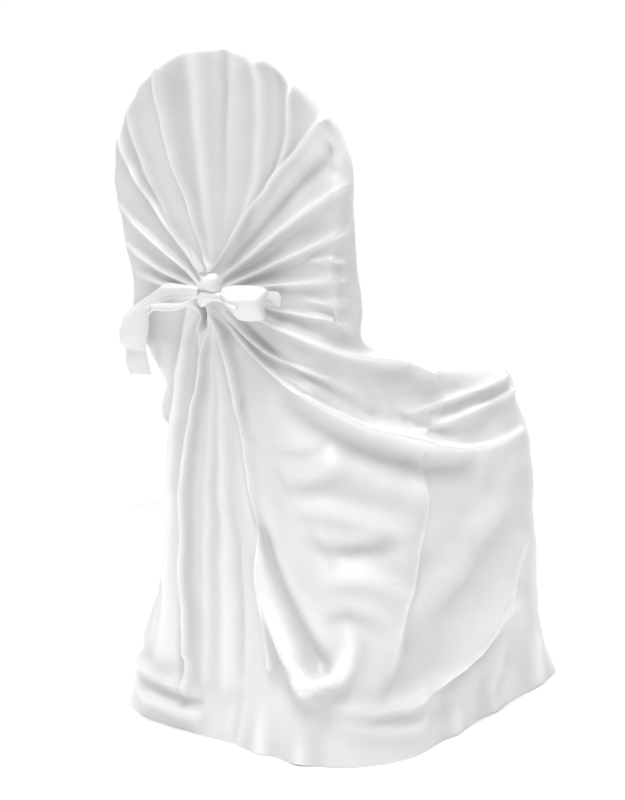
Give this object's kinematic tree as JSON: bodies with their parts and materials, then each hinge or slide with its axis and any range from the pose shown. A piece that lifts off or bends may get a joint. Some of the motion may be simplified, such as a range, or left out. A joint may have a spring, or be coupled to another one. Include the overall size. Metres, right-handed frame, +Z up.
{
  "type": "chair cover with sash",
  "caption": "Floor-length satin cover for a round-topped banquet chair, gathered and knotted behind the backrest with a short bow loop and a loose tail.",
  "frame": {"origin": "middle of the bounding box's underside, on the floor the hem rests on", "axes": "+Z up; -Y to the front, the way a sitter on the chair would face; +X to the sitter's left; the knot is on the +Y side"},
  "size_m": [0.5248, 0.6865, 0.9494],
  "materials": {
    "satin": "white satin with a soft sheen"
  },
  "bodies": {
    "root": {"cover": "satin", "knot": "satin", "left_tail": "satin", "right_loop": "satin", "right_end": "satin"}
  },
  "joints": []
}
